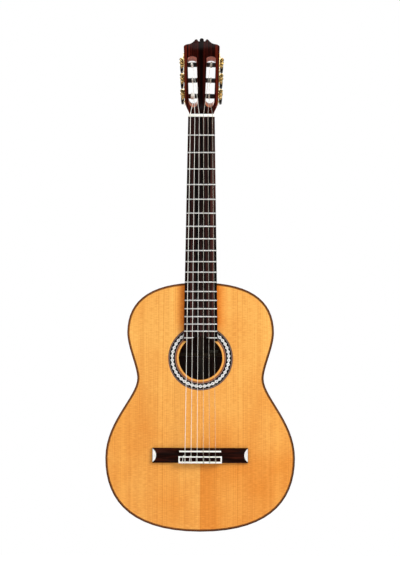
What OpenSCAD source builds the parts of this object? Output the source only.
// Classical guitar with a slotted head.
// X runs to the treble side, Z up along the neck, and the soundboard faces -Y.
// The soundboard's face is at y = 0 and the nut's front edge at z = 0.

/* [Scale and strings] */
// Length of string between nut and saddle
scale_len = 650; // [600:1:700]
// Extra string length that the saddle adds for intonation
saddle_setback = 1; // [0:0.5:3]
// Distance between the outer strings at the nut
nut_spread = 43; // [38:0.5:45]
// Distance between the outer strings at the saddle
saddle_spread = 58; // [54:0.5:62]
// Diameters of the strings, from the lowest to the highest
string_d = [1.10, 0.92, 0.76, 1.02, 0.82, 0.72];

/* [Neck] */
// Width of the fingerboard at the nut
nut_w = 52; // [48:0.5:54]
// Width of the fingerboard where the neck meets the body
joint_w = 62; // [58:0.5:64]
// Thickness of the nut along the strings
nut_t = 5.5; // [4:0.5:7]
// Height of the nut above the fingerboard
nut_above = 1.8; // [1:0.1:3]
// Thickness of the fingerboard
board_t = 6.5; // [5:0.5:7]
// Number of frets
fret_count = 19; // [18:1:20]
// Width of a fret's crown
fret_w = 2.2; // [1.8:0.1:2.8]
// Height of a fret's crown
fret_h = 1.0; // [0.8:0.1:1.2]
// How far the fingerboard runs on past its last fret
board_tail = 6; // [2:1:8]
// Thickness of the neck's wood behind the fingerboard
neck_t = 16; // [14:0.5:20]
// Width of the heel at its cap
heel_w = 27; // [20:1:34]
// Length of the heel at its cap, measured from the body
heel_len = 22; // [15:1:30]
// Length of the curve from the neck's back into the heel
heel_curve = 40; // [25:1:50]
// Thickness of the heel cap
heel_cap_t = 2.5; // [1.5:0.5:4]

/* [Body] */
// Length of the body
body_len = 478; // [440:1:500]
// Widest part of the lower bout
lower_w = 363; // [340:1:380]
// Narrowest part of the waist
waist_w = 243; // [220:1:260]
// Widest part of the upper bout
upper_w = 283; // [260:1:300]
// Height of the lower bout's widest line above the tail
lower_up = 140; // [125:1:150]
// Distance from the neck joint down to the waist's narrowest line
waist_down = 186; // [175:1:200]
// Distance from the neck joint down to the upper bout's widest line
upper_down = 97; // [85:1:110]
// Depth of the body at the tail, along its centre line
tail_depth = 100; // [85:1:110]
// Depth of the body at the heel, along its centre line
heel_depth = 94; // [80:1:105]
// Rise of the back's arch across the lower bout
back_arch = 5; // [3:0.5:8]
// Thickness of the soundboard
top_t = 2.5; // [2:0.1:4]
// Thickness of the back
back_t = 2.5; // [2:0.1:4]
// Thickness of the ribs
rib_t = 2; // [1.5:0.1:3]
// Width of the binding on the face it edges
binding_w = 3; // [2.2:0.1:5]
// Depth of the binding on the ribs
binding_d = 6; // [4:0.5:8]
// Width of the linings
lining_w = 5; // [4:0.5:7]
// Height of the linings
lining_h = 14; // [8:1:18]
// Width of the strip between the halves of the back
strip_w = 8; // [4:1:12]

/* [Soundhole and rosette] */
// Radius of the soundhole
hole_r = 42; // [38:0.5:45]
// Distance from the neck joint down to the soundhole's centre
hole_drop = 146.5; // [140:0.5:155]
// Wood between the soundhole and the rosette
rosette_edge = 4; // [2:0.5:8]
// Width of the rosette's ring
rosette_w = 16.5; // [10:0.5:20]
// Depth of the rosette's channel
rosette_t = 1.2; // [0.8:0.1:1.5]

/* [Bridge] */
// Length of the bridge across the soundboard
bridge_w = 183; // [170:1:195]
// Width of the bridge along the strings
bridge_l = 28.5; // [26:0.5:32]
// Distance from the bridge's front edge to the saddle's middle
saddle_in = 7; // [6:0.5:9]
// Thickness of the bridge's wings
wing_t = 4; // [3:0.5:6]
// Height of the saddle bed and the tie block
block_h = 9; // [8:0.5:11]
// Length of the tie block across the soundboard
tie_w = 83; // [78:1:88]
// Width of the tie block along the strings
tie_l = 13.5; // [11:0.5:15]
// Height of the saddle's top above its bed
saddle_show = 3; // [1.5:0.1:5]
// Thickness of the saddle
saddle_t = 3; // [2.5:0.5:4]
// Depth of the slot that holds the saddle
saddle_slot = 5; // [4:0.5:6]
// Thickness of the bone frame on the tie block
frame_t = 0.9; // [0.6:0.1:1.5]
// Radius of the holes for the strings
tie_hole_r = 0.9; // [0.8:0.05:1.2]
// Depth of the crescent inlays at the bridge's ends
crescent_w = 6.7; // [4:0.1:8]

/* [Head] */
// Angle that the head leans back
head_tilt = 15.5; // [10:0.5:18]
// Wood between the two slots, at their lower ends
web_w = 13.5; // [11:0.5:16]
// How much wider the head is at its top than above its lower curves
head_flare = 8; // [0:0.5:12]
// Width of the head's throat behind the nut
throat_w = 47.5; // [44:0.5:50]
// Thickness of the head's wood
head_t = 18; // [16:0.5:20]
// Thickness of the faceplate
plate_wood_t = 2; // [1:0.5:3]
// Width of each slot
slot_w = 18; // [16:0.5:20]
// Wood left between a slot and the head's side
cheek_t = 7; // [6:0.5:9]
// Height of the slots' lower ends on the face
slot_low = 14; // [12:0.5:18]
// Length of the slots above the highest roller
slot_above = 14; // [10:0.5:18]
// Wood left above the slots, up to the shoulders
slot_top_wood = 23.5; // [18:0.5:30]
// Radius of the knob in the middle of the crown
knob_r = 4.2; // [3:0.1:6]

/* [Machine heads] */
// Distance between rollers
roller_pitch = 35; // [34:0.5:40]
// Height of the lowest roller above the nut
roller_first = 45; // [42:0.5:50]
// Depth of the rollers' axes behind the head's wood
roller_depth = 9; // [8:0.25:10]
// Radius of the rollers
roller_r = 4.7; // [4:0.1:5]
// Thickness of the side plates
tuner_plate_t = 1.2; // [1:0.1:2]
// Number of teeth on a gear
gear_teeth = 16; // [14:1:18]
// Size of the teeth
gear_module = 0.7; // [0.6:0.05:0.75]
// Width of a gear
gear_w = 3.2; // [2.5:0.1:4]
// Distance from the head's side to the middle of a gear
gear_out = 5; // [4.8:0.1:6]
// Radius of the worm at its pitch line
worm_r = 2.6; // [2.4:0.1:3]
// Radius of a worm's shaft
shaft_r = 1.6; // [1.4:0.1:1.8]
// Radius of the round posts that carry a worm's shaft
post_r = 4.3; // [3.5:0.1:4.5]
// Thickness of a post
post_t = 2.5; // [2:0.1:3]
// How far the buttons stand behind the head
button_stand = 8; // [3:0.5:12]
// Length of a button
button_l = 24; // [18:0.5:26]
// Width of a button
button_w = 15; // [12:0.5:18]
// Thickness of a button
button_t = 6.4; // [4.5:0.1:7]

/* [Hidden] */

run_gap = 0.05;      // radial clearance of a turning shaft
air_gap = 0.3;       // clearance between pieces that move past each other
glue_gap = 0.02;     // clearance where a string or a tang touches its seat
far = 400;           // longer than any piece, for cutting bodies
turn_fn = 48;

nut_h = board_t + nut_above;
saddle_h = block_h + saddle_show;
rosette_in = hole_r + rosette_edge;
rosette_out = rosette_in + rosette_w;
head_len = roller_first + 2 * roller_pitch + slot_above + slot_top_wood;
head_low_w = web_w + 2 * (slot_w + cheek_t);
head_top_w = head_low_w + head_flare;

// ---- heights along the strings
joint_z = -scale_len / 2;
tail_z = joint_z - body_len;
hole_z = joint_z - hole_drop;
saddle_z = -scale_len - saddle_setback;
bridge_z = saddle_z + saddle_in;
last_fret_z = -fret_place(fret_count);
board_end_z = last_fret_z - board_tail;

function fret_place(n) = scale_len * (1 - pow(2, -n / 12));
function board_half(z) = nut_w / 2 + (joint_w - nut_w) / 2 * (-z / (scale_len / 2));
function mix(a, b, t) = a + (b - a) * t;
function flip(points) = [for (i = [len(points) - 1:-1:0]) points[i]];
function across(points) = [for (p = points) [-p.x, p.y]];

// ---- outline of the body: four curves from the tail to the neck joint
function curve(a, b, c, d, n, first) = [for (i = [first:n]) let (t = i / n)
    pow(1 - t, 3) * a + 3 * pow(1 - t, 2) * t * b + 3 * (1 - t) * t * t * c + t * t * t * d];

outline_steps = 15;
tail_reach = 134;
lower_reach_down = 80;
lower_reach_up = 70;
waist_reach_down = 35;
waist_reach_up = 22;
upper_reach_down = 28;
upper_reach_up = 60;
shoulder_reach = 100;

tail_pt = [0, tail_z];
lower_pt = [lower_w / 2, tail_z + lower_up];
waist_pt = [waist_w / 2, joint_z - waist_down];
upper_pt = [upper_w / 2, joint_z - upper_down];
joint_pt = [0, joint_z];

half_outline = concat(
    curve(tail_pt, tail_pt + [tail_reach, 0], lower_pt - [0, lower_reach_down], lower_pt, outline_steps, 0),
    curve(lower_pt, lower_pt + [0, lower_reach_up], waist_pt - [0, waist_reach_down], waist_pt,
          outline_steps, 1),
    curve(waist_pt, waist_pt + [0, waist_reach_up], upper_pt - [0, upper_reach_down], upper_pt,
          outline_steps, 1),
    curve(upper_pt, upper_pt + [0, upper_reach_up], joint_pt + [shoulder_reach, 0], joint_pt,
          outline_steps, 1));
last_pt = len(half_outline) - 1;

// The half outline moved inwards by d, square to the curve at each point
function inset(d) = [for (i = [0:last_pt]) let (
    before = i == 0 ? [-half_outline[1].x, half_outline[1].y] : half_outline[i - 1],
    after = i == last_pt ? [-half_outline[i - 1].x, half_outline[i - 1].y] : half_outline[i + 1],
    way = (after - before) / norm(after - before)) half_outline[i] + d * [-way.y, way.x]];
function whole(d) = concat(inset(d), flip(across(inset(d))));
function half_plate(side, d) = side > 0 ? inset(d) : across(inset(d));
function half_ring(side, d0, d1) = let (ring = concat(inset(d0), flip(inset(d1)))) side > 0 ? ring : across(ring);
function half_width(z, d) = lookup(z, [for (p = inset(d)) [p.y, p.x]]);
function bar_reach(z, w) = min(half_width(z - w / 2, lined), half_width(z + w / 2, lined)) - bar_gap;

// A plate between two depths, from a shape drawn in X and Z
module slab(y0, y1) {
    translate([0, y1, 0]) rotate([90, 0, 0]) linear_extrude(y1 - y0) children();
}

// Everything in front of the back's surface, moved forwards by d
arch_r = lower_w * lower_w / (8 * back_arch);
back_lean = atan((tail_depth - heel_depth) / body_len);
arch_half_steps = 10;
arch_span = lower_w / 2 + 8;
module before_back(d) {
    arch = [for (i = [arch_half_steps:-1:-arch_half_steps]) let (x = i / arch_half_steps * arch_span)
        [x, -x * x / (2 * arch_r) - d]];
    translate([0, heel_depth, joint_z]) rotate([back_lean, 0, 0]) translate([0, 0, -body_len - 40])
        linear_extrude(body_len + 80) polygon(concat([[-arch_span, -far], [arch_span, -far]], arch));
}
module box(x0, x1, y0, y1, z0, z1) {
    translate([x0, y0, z0]) cube([x1 - x0, y1 - y0, z1 - z0]);
}

// ---- soundboard
module soundboard(side) {
    color("#f0ac58") difference() {
        slab(0, top_t) polygon(half_plate(side, binding_w));
        hole_cut(hole_r, -1, top_t + 1);
        difference() {
            hole_cut(rosette_out, -1, rosette_t);
            hole_cut(rosette_in, -2, rosette_t + 1);
        }
    }
}
module hole_cut(r, y0, y1) {
    translate([0, y1, hole_z]) rotate([90, 0, 0]) cylinder(r = r, h = y1 - y0, $fn = 96);
}
module rosette() {
    color("#7a5230") difference() {
        hole_cut(rosette_out, 0, rosette_t);
        hole_cut(rosette_in, -1, rosette_t + 1);
    }
}

// ---- what is glued under the soundboard
bar_w = 7;
bar_h = 16;
bar_above = 22;      // from the hole's edge to the bar above it
bar_below = 22;
fan_w = 5;
fan_h = 4;
fan_count = 7;
fan_spread = 30;     // between the fan struts at the lower end
fan_top_spread = 17;
patch_t = 2;
lined = rib_t + lining_w;
bar_gap = 4;         // between a bar's end and the lining
bar_z = [hole_z + hole_r + bar_above, hole_z - hole_r - bar_below];
module cross_bar(z) {
    reach = bar_reach(z, bar_w);
    slab(top_t, top_t + bar_h) translate([-reach, z - bar_w / 2]) square([2 * reach, bar_w]);
}
module top_braces() {
    fan_top = bar_z[1] - 10;
    fan_end = tail_z + 50;
    color("#e0b878") {
        for (z = bar_z) cross_bar(z);
        for (i = [0:fan_count - 1]) {
            k = i - (fan_count - 1) / 2;
            slab(top_t, top_t + fan_h)
                polygon([[k * fan_top_spread - fan_w / 2, fan_top], [k * fan_spread - fan_w / 2, fan_end],
                         [k * fan_spread + fan_w / 2, fan_end], [k * fan_top_spread + fan_w / 2, fan_top]]);
        }
    }
}
module top_patches() {
    patch_r = hole_r + bar_below - 4;
    color("#e6bf80") difference() {
        hole_cut(patch_r, top_t, top_t + patch_t);
        hole_cut(hole_r, top_t - 1, top_t + patch_t + 1);
        box(-far, far, 0, 50, hole_z + hole_r + bar_above - bar_w / 2 - 1, far);
    }
}

// ---- back
module between_backs(d0, d1) {
    difference() {
        intersection() {
            children();
            before_back(d0);
        }
        before_back(d1);
    }
}
module back(side) {
    color("#4a2216") between_backs(0, back_t) difference() {
        slab(heel_depth / 2, tail_depth + 20) polygon(half_plate(side, binding_w));
        box(-strip_w / 2, strip_w / 2, 0, far, tail_z - 20, 0);
    }
}
module back_centre_strip() {
    color("#c89a5a") between_backs(0, back_t) intersection() {
        slab(heel_depth / 2, tail_depth + 20) polygon(whole(binding_w));
        box(-strip_w / 2, strip_w / 2, 0, far, tail_z - 20, 0);
    }
}
back_brace_h = 14;
back_brace_w = 7;
back_brace_z = [lower_pt.y - 40, waist_pt.y - 62, hole_z + 13];
module back_braces() {
    color("#e0b878") for (z = back_brace_z) {
        reach = bar_reach(z, back_brace_w);
        between_backs(back_t, back_t + back_brace_h)
            box(-reach, reach, heel_depth / 2, tail_depth + 20, z - back_brace_w / 2, z + back_brace_w / 2);
    }
}

// ---- ribs, linings, bindings and blocks
core_half = 12;      // half the width of the foot block's tongue, between the ribs' ends
wedge_half = 5;
block_half = 30;
foot_l = 50;
tail_block_l = 18;
module rib_zone(ring_out, ring_in, side) {
    intersection() {
        slab(binding_d, tail_depth + 20) polygon(half_ring(side, ring_out, ring_in));
        before_back(binding_d);
    }
}
module rib(side) {
    color("#5a2818") difference() {
        rib_zone(0, rib_t, side);
        box(-core_half, core_half, 0, far, joint_z - 20, 0);
        box(-wedge_half, wedge_half, 0, far, tail_z - 20, tail_z + 20);
    }
}
module tail_wedge() {
    color("#c89a5a") intersection() {
        union() {
            rib_zone(0, rib_t, 1);
            rib_zone(0, rib_t, -1);
        }
        box(-wedge_half, wedge_half, 0, far, tail_z - 20, tail_z + 20);
    }
}
module ring(y0, y1, d0, d1) {
    difference() {
        slab(y0, y1) polygon(whole(d0));
        slab(y0 - 1, y1 + 1) polygon(whole(d1));
    }
}
module linings() {
    color("#b06a40") difference() {
        union() {
            ring(top_t, top_t + lining_h, rib_t, lined);
            between_backs(back_t, back_t + lining_h) ring(heel_depth / 2, tail_depth + 20, rib_t, lined);
        }
        box(-block_half, block_half, 0, far, joint_z - foot_l, 0);
        box(-block_half, block_half, 0, far, tail_z - 20, tail_z + tail_block_l + 10);
    }
}
module top_binding() {
    color("#2e120c") {
        ring(0, top_t, 0, binding_w);
        ring(top_t, binding_d, 0, rib_t);
    }
}
module back_binding() {
    color("#2e120c") {
        between_backs(0, back_t) ring(heel_depth / 2, tail_depth + 20, 0, binding_w);
        between_backs(back_t, binding_d) ring(heel_depth / 2, tail_depth + 20, 0, rib_t);
    }
}
module inside(ring_in) {
    intersection() {
        slab(top_t, tail_depth + 20) polygon(whole(ring_in));
        before_back(back_t);
        children();
    }
}
module tail_block() {
    color("#b06a40") inside(rib_t)
        box(-block_half, block_half, 0, far, tail_z - 20, tail_z + rib_t + tail_block_l);
}
module foot_block() {
    color("#9a5230") union() {
        inside(rib_t) box(-block_half, block_half, 0, far, joint_z - foot_l, 0);
        intersection() {
            slab(binding_d, tail_depth) polygon(whole(0));
            before_back(binding_d);
            box(-core_half, core_half, 0, far, joint_z - foot_l / 2, 0);
        }
    }
}

// ---- neck: one loft from the head's throat to the heel
ring_steps = 24;
// A point on the neck's section: half width h, depth d, roundness e, and g, how much the heel's flanks draw in
function flank(y, g) = let (t = min(1, y / heel_depth)) 1 - g * (1 - heel_w / joint_w) * (1 - pow(1 - t, 2));
function power(v, e) = sign(v) * pow(abs(v), e);
function section(h, d, e, g, z, lean) = [for (k = [0:ring_steps]) let (
    a = -90 + 180 * k / ring_steps,
    v = d * power(cos(a), e),
    x = h * power(sin(a), e) * flank(v, g)) [x, v * cos(lean), z - v * sin(lean)]];

throat_steps = 6;
throat_len = 34;
neck_round = 0.8;
throat_sections = [for (i = [0:throat_steps]) let (
    t = i / throat_steps,
    z = nut_t - throat_len * t,
    h = z > 0 ? mix(throat_w, nut_w, (nut_t - z) / nut_t) / 2 : board_half(z),
    s = t * t * (3 - 2 * t)) section(h, mix(head_t, neck_t, s), mix(0.2, neck_round, s), 0, z,
                                     head_tilt * (1 - s))];
shaft_steps = 5;
shaft_top = nut_t - throat_len;
shaft_end = joint_z + heel_len + heel_curve;
shaft_sections = [for (i = [1:shaft_steps]) let (z = mix(shaft_top, shaft_end, i / shaft_steps))
    section(board_half(z), neck_t, neck_round, 0, z, 0)];
heel_steps = 9;
heel_soft = 12;      // how quickly the curve turns down into the heel
heel_over = 4;       // how far the loft runs past the cap before it is cut
heel_sections = [for (i = [1:heel_steps]) let (
    d = mix(neck_t, heel_depth + heel_over, pow(i / heel_steps, 1.6)),
    z = joint_z + heel_len + heel_curve * exp(-(d - neck_t) / heel_soft))
    section(board_half(z), d, neck_round, min(1, (d - neck_t) / heel_soft), z, 0)];
foot_steps = 4;
foot_sections = [for (i = [1:foot_steps]) let (t = i / foot_steps, z = joint_z + mix(heel_len, -3, t))
    section(board_half(z), heel_depth + heel_over, mix(neck_round, 0.3, t), 1, z, 0)];

module loft(sections) {
    n = len(sections[0]);
    rows = len(sections);
    points = [for (s = sections) for (p = s) p];
    walls = [for (i = [0:rows - 2]) for (k = [0:n - 1]) let (
        u = i * n + k, v = i * n + (k + 1) % n, l = u + n, m = v + n) each [[u, l, m], [u, m, v]]];
    top = [for (k = [0:n - 1]) k];
    bottom = [for (k = [n - 1:-1:0]) (rows - 1) * n + k];
    polyhedron(points, concat([top, bottom], walls), convexity = 4);
}
module neck_body() {
    difference() {
        loft(concat(throat_sections, shaft_sections, heel_sections, foot_sections));
        slab(-1, tail_depth + 20) polygon(whole(0));
    }
}
module neck() {
    color("#8a4526") difference() {
        neck_body();
        box(-50, 50, heel_depth - heel_cap_t, far, joint_z - 10, 0);
    }
}
module heel_cap() {
    color("#3a170e") intersection() {
        neck_body();
        box(-50, 50, heel_depth - heel_cap_t, heel_depth, joint_z - 10, 0);
    }
}

// ---- fingerboard, frets and nut
module board_end_cut() {
    hole_cut(hole_r - 1, -board_t - 5, 1);
}
slot_gap = 0.05;
tang_w = 0.6;
tang_d = 1.6;
module fingerboard() {
    color("#17100e") difference() {
        slab(-board_t, 0) polygon([[-board_half(0), 0], [-board_half(board_end_z), board_end_z],
                                   [board_half(board_end_z), board_end_z], [board_half(0), 0]]);
        board_end_cut();
        for (n = [1:fret_count]) box(-50, 50, -board_t - 1, -board_t + tang_d,
                                     -fret_place(n) - tang_w / 2, -fret_place(n) + tang_w / 2);
    }
}
module frets() {
    color("#c9c6bc") for (n = [1:fret_count]) {
        z = -fret_place(n);
        half = board_half(z) - 0.4;
        difference() {
            union() {
                translate([-half, -board_t, z]) rotate([90, 0, 90]) linear_extrude(2 * half)
                    polygon([[0, -fret_w / 2], [-fret_h * 0.6, -fret_w * 0.4], [-fret_h, -fret_w * 0.15],
                             [-fret_h, fret_w * 0.15], [-fret_h * 0.6, fret_w * 0.4], [0, fret_w / 2]]);
                box(-half, half, -board_t - 0.1, -board_t + tang_d - slot_gap,
                    z - tang_w / 2 + slot_gap, z + tang_w / 2 - slot_gap);
            }
            if (z - fret_w < hole_z + hole_r) board_end_cut();
        }
    }
}
module nut() {
    color("#ece6d8") box(-nut_w / 2, nut_w / 2, -nut_h, 0, 0, nut_t);
}

// ---- bridge
saddle_len = tie_w - 3;
tie_front = bridge_z - bridge_l + tie_l - 1.2;
tie_back = tie_front - tie_l;
tie_hole_y = -block_h * 0.55;
bed_back = saddle_z - saddle_t / 2 - 4;
bed_wall = 1.6;      // wood behind the saddle, before the bed slopes down to the strings' channel
channel_h = 3.5;
function string_x(i, spread) = (i - 3.5) / 5 * spread;
module bridge() {
    color("#331510") difference() {
        union() {
            box(-bridge_w / 2, bridge_w / 2, -wing_t, 0, bridge_z - bridge_l, bridge_z);
            translate([-tie_w / 2, 0, 0]) rotate([90, 0, 90]) linear_extrude(tie_w)
                polygon([[0, bed_back], [0, bridge_z], [-wing_t, bridge_z], [-block_h, bridge_z - 3],
                         [-block_h, saddle_z - saddle_t / 2 - bed_wall], [-channel_h, bed_back]]);
            box(-tie_w / 2, tie_w / 2, -block_h, 0, tie_back, tie_front);
        }
        box(-saddle_len / 2, saddle_len / 2, -block_h - 1, -block_h + saddle_slot,
            saddle_z - saddle_t / 2, saddle_z + saddle_t / 2);
        for (i = [1:6]) translate([string_x(i, saddle_spread), tie_hole_y, tie_back - 1])
            cylinder(r = tie_hole_r, h = tie_l + 2, $fn = turn_fn);
        bridge_end_inlays_shape(0);
    }
}
module saddle() {
    color("#f1ece0") box(-saddle_len / 2, saddle_len / 2, -saddle_h, -block_h + saddle_slot,
                         saddle_z - saddle_t / 2, saddle_z + saddle_t / 2);
}
frame_front = 2.4;
frame_back = 3.6;
frame_side = 2.6;
module tie_block_frame() {
    color("#f1ece0") difference() {
        box(-tie_w / 2, tie_w / 2, -block_h - frame_t, -block_h, tie_back, tie_front);
        box(-tie_w / 2 + frame_side, tie_w / 2 - frame_side, -block_h - frame_t - 1, -block_h + 1,
            tie_back + frame_back, tie_front - frame_front);
    }
}
crescent_t = 1;
crescent_edge = 0.5;
module bridge_end_inlays_shape(proud) {
    chord = bridge_l / 2 - 1.5;
    r = (chord * chord + crescent_w * crescent_w) / (2 * crescent_w);
    for (side = [-1, 1]) intersection() {
        translate([side * (bridge_w / 2 - crescent_edge - crescent_w + r), -wing_t + crescent_t,
                   bridge_z - bridge_l / 2])
            rotate([90, 0, 0]) cylinder(r = r, h = crescent_t + proud, $fn = 96);
        box(min(side * bridge_w / 4, side * (bridge_w / 2 - crescent_edge)),
            max(side * bridge_w / 4, side * (bridge_w / 2 - crescent_edge)),
            -wing_t - 5, 0, bridge_z - bridge_l, bridge_z);
    }
}
module bridge_end_inlays() {
    color("#e9e6e0") bridge_end_inlays_shape(0);
}

// ---- head, drawn upright and then leant back about the nut's rear edge
module head_place() {
    translate([0, 0, nut_t]) rotate([-head_tilt, 0, 0]) children();
}
low_up = 24;
side_top = head_len - 2.5;
side_taper = atan((head_top_w - head_low_w) / 2 / (side_top - low_up));
lobe_x = 10.9;
lobe_r = 2.8;
lobe_up = 12;
notch_up = 10;
knob_up = 12.9;
throat_curve = curve([throat_w / 2, 0], [throat_w / 2 + 1, 9], [head_low_w / 2 - 1.8, 13],
                     [head_low_w / 2, low_up], 8, 0);
shoulder_pt = [head_top_w / 2 - 8.8, head_len + 3.9];
half_head = concat(
    throat_curve,
    curve([head_top_w / 2, side_top], [head_top_w / 2 + 0.1, head_len + 0.1],
          [head_top_w / 2 - 2.8, head_len + 3.1], shoulder_pt, 6, 0),
    curve(shoulder_pt, shoulder_pt + [-5, 0.3], [lobe_x + 6.6, head_len + lobe_up - 4.7],
          [lobe_x + 2.3, head_len + lobe_up + 1.5], 6, 1),
    [for (a = [60:25:160]) [lobe_x, head_len + lobe_up] + lobe_r * [cos(a), sin(a)]],
    [[lobe_x - 4.6, head_len + notch_up], [0, head_len + notch_up + 1]]);
module head_shape(v0, v1) {
    slab(v0, v1) polygon(concat(half_head, flip(across(half_head))));
    translate([0, v1, head_len + knob_up]) rotate([90, 0, 0]) cylinder(r = knob_r, h = v1 - v0, $fn = turn_fn);
}
// The throat's flanks draw in towards the back, behind a narrow land
throat_lean = 27;
throat_land = 1.5;
module throat_cut(side) {
    clear_x = head_low_w;
    flank_edge = [for (p = throat_curve) [p.x, p.y * cos(throat_lean)]];
    corner = [[clear_x, flank_edge[len(flank_edge) - 1].y], [clear_x, -head_t], [throat_w / 2, -head_t]];
    cut = concat(flank_edge, corner);
    head_place() translate([0, throat_land, 0]) rotate([throat_lean, 0, 0])
        slab(0, 2 * head_t) polygon(side > 0 ? cut : across(cut));
}
// The line of a side plate: origin on the head's side at the lowest roller
module on_side(side) {
    head_place() translate([side * (head_low_w / 2 + (roller_first - low_up) * tan(side_taper)), 0, roller_first])
        rotate([0, side * side_taper, 0]) children();
}
// A round rod square to the head's side, between two distances outwards from it
module cross_rod(side, r, out0, out1) {
    translate([side > 0 ? out0 : -out1, 0, 0]) rotate([0, 90, 0]) cylinder(r = r, h = out1 - out0, $fn = turn_fn);
}
module depth_rod(r, v0, v1) {
    translate([0, v1, 0]) rotate([90, 0, 0]) cylinder(r = r, h = v1 - v0, $fn = turn_fn);
}
slot_r = slot_w / 2;
slot_mid = cheek_t + slot_r;
slot_start = slot_low - roller_first;
slot_end = 2 * roller_pitch + slot_above;
slot_top_r = slot_r * 4 / 3;
slot_top_rise = slot_top_r - sqrt(slot_top_r * slot_top_r - slot_r * slot_r);
ramp_reach = slot_r / cos(45);
module slot_cut(side) {
    over = 2;
    front = -plate_wood_t - over;
    rear = head_t + over;
    ramp = slot_start + ramp_reach - over;
    on_side(side) {
        translate([-side * slot_mid - slot_r, 0, 0]) rotate([90, 0, 90]) linear_extrude(slot_w)
            polygon([[front, ramp], [rear, ramp + rear - front], [rear, slot_end - slot_top_rise],
                     [front, slot_end - slot_top_rise]]);
        intersection() {
            translate([-side * slot_mid, 0, slot_end - slot_top_r]) depth_rod(slot_top_r, front, rear);
            translate([-side * slot_mid - slot_r, front, slot_end - slot_r])
                cube([slot_w, rear - front, slot_r]);
        }
        translate([-side * slot_mid, front, ramp]) rotate([-45, 0, 0]) translate([0, 0, -20])
            cylinder(r = slot_r, h = 60, $fn = turn_fn);
    }
}
// How a worm and its gear mesh: the worm's axis lies above the gear's by both pitch radii
worm_up = gear_module * gear_teeth / 2 + worm_r;
lead = gear_module * PI;
tip_gap = 0.15;
tooth_rise = 0.6;    // how far the teeth and the thread stand beyond their pitch line
worm_tip = worm_r + tooth_rise;
worm_root = worm_r - tooth_rise - tip_gap;
gear_tip = worm_up - worm_root - tip_gap;
gear_root = worm_up - worm_tip - tip_gap;
journal_l = 4;
roller_in = cheek_t + slot_w + journal_l;
screw_r = 1;
screw_l = 6;
screw_free = 5;      // from a screw's middle to what stands beside it
screw_between = (worm_up + post_r + roller_pitch - gear_tip) / 2;
screw_up = [-gear_tip - screw_free - 0.3, screw_between, screw_between + roller_pitch,
            2 * roller_pitch + worm_up + post_r + screw_free];
module roller_bores(side) {
    on_side(side) for (i = [0:2]) translate([0, roller_depth, i * roller_pitch])
        cross_rod(side, roller_r + run_gap, -roller_in - air_gap, 2);
}
module screws(side, r, deep, out) {
    on_side(side) for (z = screw_up) translate([0, roller_depth, z]) cross_rod(side, r, -deep, out);
}
module headstock() {
    color("#7c3a20") difference() {
        head_place() head_shape(0, head_t);
        for (side = [-1, 1]) {
            slot_cut(side);
            throat_cut(side);
            roller_bores(side);
            screws(side, screw_r, screw_l, 2);
        }
    }
}
module head_faceplate() {
    color("#2c0e08") difference() {
        head_place() head_shape(-plate_wood_t, 0);
        for (side = [-1, 1]) slot_cut(side);
    }
}

// ---- machine heads
// The posts stand just clear of the gear's teeth, and the worm fills the space between them
post_reach = sqrt(gear_tip * gear_tip - pow(worm_up - post_r - air_gap, 2));
worm_len = 2 * (post_reach - air_gap);
post_v0 = roller_depth - worm_len / 2 - air_gap - post_t;
post_v1 = roller_depth + worm_len / 2 + air_gap;
plate_v0 = 1;
plate_v1 = head_t - 1;
plate_z0 = screw_up[0] - screw_free;
plate_z1 = screw_up[3] + screw_free;
gear_shaft_r = 3;
gear_bore_r = 2;
module tuner_plate(side) {
    on_side(side) difference() {
        union() {
            translate([side > 0 ? 0 : -tuner_plate_t, plate_v0, plate_z0])
                cube([tuner_plate_t, plate_v1 - plate_v0, plate_z1 - plate_z0]);
            for (i = [0:2], v = [post_v0, post_v1]) translate([0, 0, i * roller_pitch + worm_up]) {
                translate([side * gear_out, 0, 0]) depth_rod(post_r, v, v + post_t);
                translate([side > 0 ? tuner_plate_t / 2 : -gear_out, v, -post_r * 0.7])
                    cube([gear_out - tuner_plate_t / 2, post_t, post_r * 1.4]);
            }
        }
        for (i = [0:2]) translate([0, 0, i * roller_pitch]) {
            translate([0, roller_depth, 0]) cross_rod(side, gear_shaft_r + run_gap, -1, tuner_plate_t + 1);
            translate([side * gear_out, 0, worm_up]) depth_rod(shaft_r + run_gap, -5, head_t + 5);
        }
        for (z = screw_up) translate([0, roller_depth, z]) cross_rod(side, screw_r + 0.2, -1, tuner_plate_t + 1);
    }
}
module tuner_plates() {
    color("#d9b45a") for (side = [-1, 1]) tuner_plate(side);
}
screw_head_r = 2.2;
screw_head_t = 1.1;
module plate_screws() {
    color("#cfa94e") for (side = [-1, 1]) {
        screws(side, screw_r, screw_l, tuner_plate_t + screw_head_t / 2);
        on_side(side) for (z = screw_up) translate([0, roller_depth, z])
            cross_rod(side, screw_head_r, tuner_plate_t, tuner_plate_t + screw_head_t);
    }
}

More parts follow.
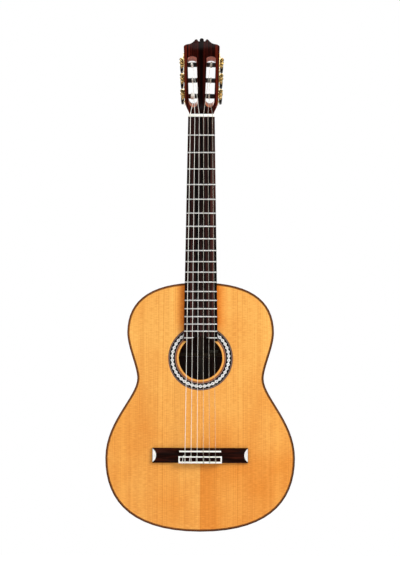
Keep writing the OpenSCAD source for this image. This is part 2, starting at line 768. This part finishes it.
// Strings 1 to 3 are the basses: the outer string of each side takes the lowest roller
function side_of(i) = i <= 3 ? -1 : 1;
function row_of(i) = i <= 3 ? i - 1 : 6 - i;
module on_roller(i) {
    on_side(side_of(i)) translate([0, roller_depth, row_of(i) * roller_pitch]) children();
}
module on_worm(i) {
    on_side(side_of(i)) translate([side_of(i) * gear_out, roller_depth, row_of(i) * roller_pitch + worm_up])
        children();
}
string_hole_r = 0.9;
module tuner_roller(i) {
    side = side_of(i);
    color("#15120f") difference() {
        on_roller(i) {
            cross_rod(side, roller_r, -roller_in, -run_gap);
            cross_rod(side, gear_shaft_r, -1, tuner_plate_t + air_gap);
            cross_rod(side, gear_bore_r, 0, gear_out + gear_w / 2);
        }
        on_roller(i) translate([-side * slot_mid, 0, 0]) depth_rod(string_hole_r, -10, 10);
    }
}
module tuner_gear(i) {
    side = side_of(i);
    step = 360 / gear_teeth;
    tooth = 0.48 * step;
    tip_tooth = 0.28 * step;
    teeth = [for (k = [0:gear_teeth - 1]) let (a = (k + 0.5) * step) each [
        gear_root * [cos(a - tooth / 2), sin(a - tooth / 2)], gear_tip * [cos(a - tip_tooth / 2), sin(a - tip_tooth / 2)],
        gear_tip * [cos(a + tip_tooth / 2), sin(a + tip_tooth / 2)], gear_root * [cos(a + tooth / 2), sin(a + tooth / 2)]]];
    color("#dcb65c") on_roller(i) {
        difference() {
            union() {
                translate([side * gear_out - gear_w / 2, 0, 0]) rotate([90, 0, 90]) linear_extrude(gear_w)
                    polygon([for (p = teeth) [p.y, p.x]]);
                cross_rod(side, gear_root - 1, tuner_plate_t + air_gap, gear_out);
            }
            cross_rod(side, gear_bore_r, 0, gear_out + gear_w);
        }
        cross_rod(side, gear_bore_r + 1, gear_out + gear_w / 2, gear_out + gear_w / 2 + 0.9);
    }
}
thread_steps = 16;   // flat steps to one turn of the thread
thread_root = 0.62;  // half the thread's width at its root
thread_tip = 0.2;
thread_turns = (worm_len - 2 * thread_root - 0.4) / lead;
thread_sunk = 0.35;
module worm_thread() {
    count = round(thread_turns * thread_steps);
    points = [for (i = [0:count]) let (
        turn = (i / count - 0.5) * thread_turns,
        a = 360 * turn,
        out = [-sin(a), 0, -cos(a)],
        mid = [0, lead * turn, 0]) each [
            mid + (worm_root - thread_sunk) * out - [0, thread_root, 0], mid + worm_tip * out - [0, thread_tip, 0],
            mid + worm_tip * out + [0, thread_tip, 0], mid + (worm_root - thread_sunk) * out + [0, thread_root, 0]]];
    walls = [for (i = [0:count - 1]) for (k = [0:3]) let (
        u = i * 4 + k, v = i * 4 + (k + 1) % 4, l = u + 4, m = v + 4) each [[u, m, l], [u, v, m]]];
    polyhedron(points, concat([[3, 2, 1, 0], [for (k = [0:3]) count * 4 + k]], walls), convexity = 6);
}
shaft_front = -roller_depth + 0.6;
button_v = head_t + button_stand;
shaft_in_button = 5;
module tuner_worm(i) {
    color("#d6b055") on_worm(i) {
        depth_rod(worm_root, -worm_len / 2, worm_len / 2);
        worm_thread();
        depth_rod(shaft_r, shaft_front, button_v - roller_depth + shaft_in_button);
    }
}
button_neck_r = 2.8;
button_neck_l = 4.5;
half_button = concat(
    curve([button_neck_r * 0.7, 2], [button_neck_r, 6], [button_w / 2, 5], [button_w / 2, button_l * 0.6], 8, 0),
    curve([button_w / 2, button_l * 0.6], [button_w / 2, button_l * 0.86], [button_w / 3, button_l],
          [0, button_l], 8, 1));
module tuner_button(i) {
    color("#17120f") on_worm(i) difference() {
        union() {
            translate([-button_t / 2, button_v - roller_depth, 0]) rotate([90, 0, 90]) linear_extrude(button_t)
                polygon([for (p = concat(half_button, flip(across(half_button)))) [p.y, p.x]]);
            depth_rod(button_neck_r, button_v - roller_depth, button_v - roller_depth + button_neck_l);
        }
        depth_rod(shaft_r + glue_gap, button_v - roller_depth - 1,
                  button_v - roller_depth + shaft_in_button + glue_gap);
    }
}

// ---- strings: round wires from the tie block over the saddle and nut to their rollers
wrap_off = [2.5, 0.5, 1, 1, 1, 2.5];       // where each string meets its roller, in from the slot's middle
wind_gap = 0.35;
function leant(p) = [p.x, p.y * cos(head_tilt) + p.z * sin(head_tilt),
                     nut_t - p.y * sin(head_tilt) + p.z * cos(head_tilt)];
function roller_point(i) = let (
    r = string_d[i - 1] / 2,
    up = roller_first + row_of(i) * roller_pitch * cos(side_taper),
    side_x = head_low_w / 2 + (up - low_up) * tan(side_taper))
    leant([side_of(i) * (side_x - slot_mid - wrap_off[i - 1]), roller_depth - roller_r - wind_gap - r, up]);
function route(i) = let (
    r = string_d[i - 1] / 2 + glue_gap,
    x0 = string_x(i, saddle_spread),
    x1 = string_x(i, nut_spread),
    loop_y = -block_h - frame_t - r) [
        [x0, loop_y, tie_front + 1.2],
        [x0, loop_y, tie_back - 1.2],
        [x0, tie_hole_y, tie_back - 1.2],
        [x0, tie_hole_y, tie_front + 2],
        [x0, -saddle_h - r, saddle_z - saddle_t / 2 - 0.6 * r],
        [x0, -saddle_h - r, saddle_z + saddle_t / 2],
        [x1, -nut_h - r, 0],
        [x1, -nut_h - r, nut_t + 0.2 * r],
        roller_point(i)];
wire_sides = 10;
function unit(v) = v / norm(v);
// A round wire along straight stretches, mitred where they meet
module wire(points, r) {
    n = len(points);
    ways = [for (k = [0:n - 2]) unit(points[k + 1] - points[k])];
    rings = [for (k = [0:n - 1]) let (
        t = k == 0 ? ways[0] : k == n - 1 ? ways[n - 2] : unit(ways[k - 1] + ways[k]),
        mitre = 1 / (t * ways[min(k, n - 2)]),
        out = unit(cross([1, 0, 0], t)),
        aside = cross(t, out)) [for (j = [0:wire_sides - 1]) let (a = 360 * j / wire_sides)
            points[k] + r * (cos(a) * aside + sin(a) * mitre * out)]];
    loft(rings);
}
module string(i) {
    color(i <= 3 ? "#c8c8c8" : "#e8e4da") wire(route(i), string_d[i - 1] / 2);
}

soundboard(-1);  // soundboard_bass
soundboard(1);  // soundboard_treble
rosette();
top_patches();
top_braces();
back(-1);  // back_bass
back(1);  // back_treble
back_centre_strip();
back_braces();
rib(-1);  // rib_bass
rib(1);  // rib_treble
tail_wedge();
tail_block();
foot_block();
linings();
top_binding();
back_binding();
neck();
heel_cap();
headstock();
head_faceplate();
fingerboard();
frets();
nut();
bridge();
saddle();
tie_block_frame();
bridge_end_inlays();
tuner_plates();
plate_screws();
for (i = [1:6]) {
    string(i);
    tuner_worm(i);
    tuner_button(i);
    tuner_roller(i);
    tuner_gear(i);
}
